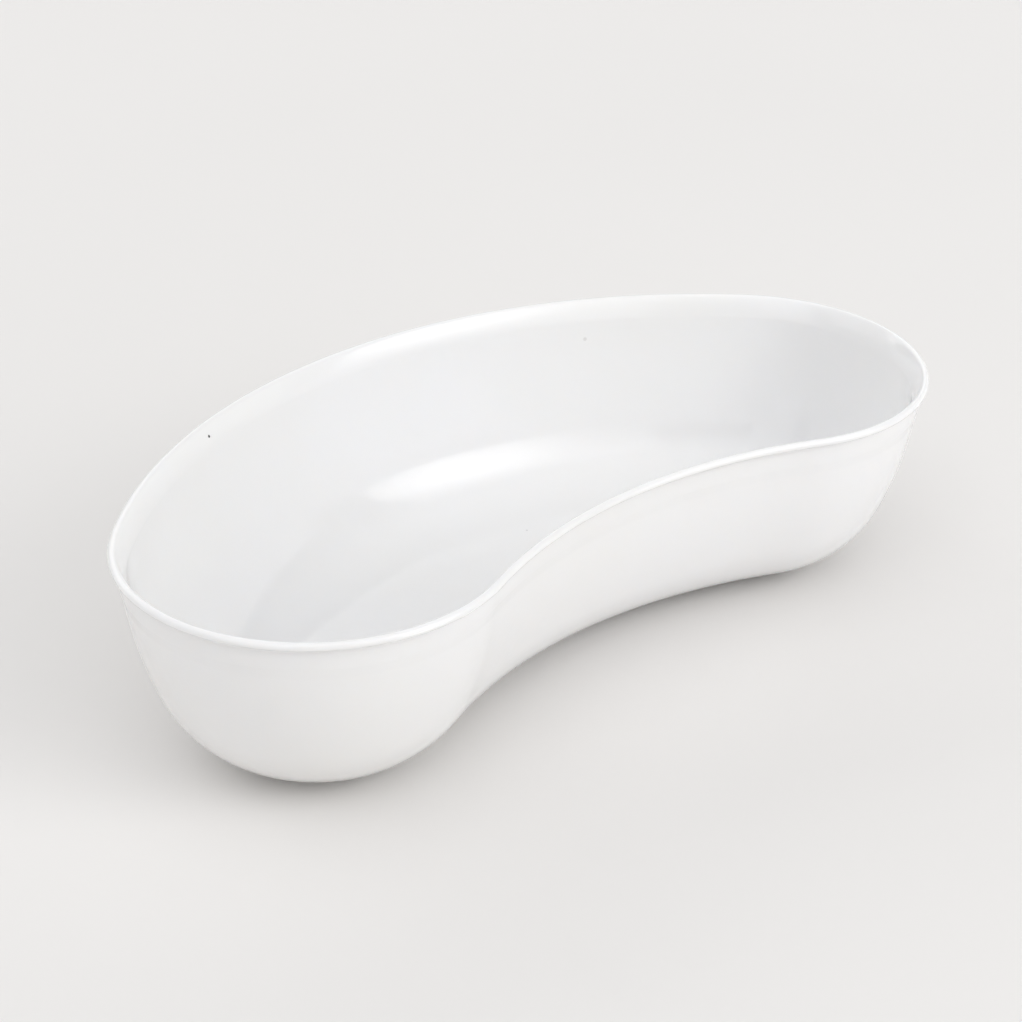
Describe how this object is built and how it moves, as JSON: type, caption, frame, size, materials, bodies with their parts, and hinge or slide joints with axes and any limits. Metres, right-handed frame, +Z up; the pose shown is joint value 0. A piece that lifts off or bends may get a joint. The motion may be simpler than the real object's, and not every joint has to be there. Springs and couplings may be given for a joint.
{
  "type": "kidney dish",
  "caption": "Bean-shaped ward basin in white moulded plastic, with a rounded inside, a flat base and a slim flared rim, hollowed along one side to fit against a body.",
  "frame": {"origin": "on the table under the middle of the dish's outer box", "axes": "+X along the length, -Y towards the hollow side, +Z up out of the open top"},
  "size_m": [0.25, 0.1302, 0.0575],
  "materials": {
    "white_plastic": "glossy moulded polypropylene, opaque white, very slightly warm"
  },
  "bodies": {
    "root": {"dish": "white_plastic"}
  },
  "joints": []
}
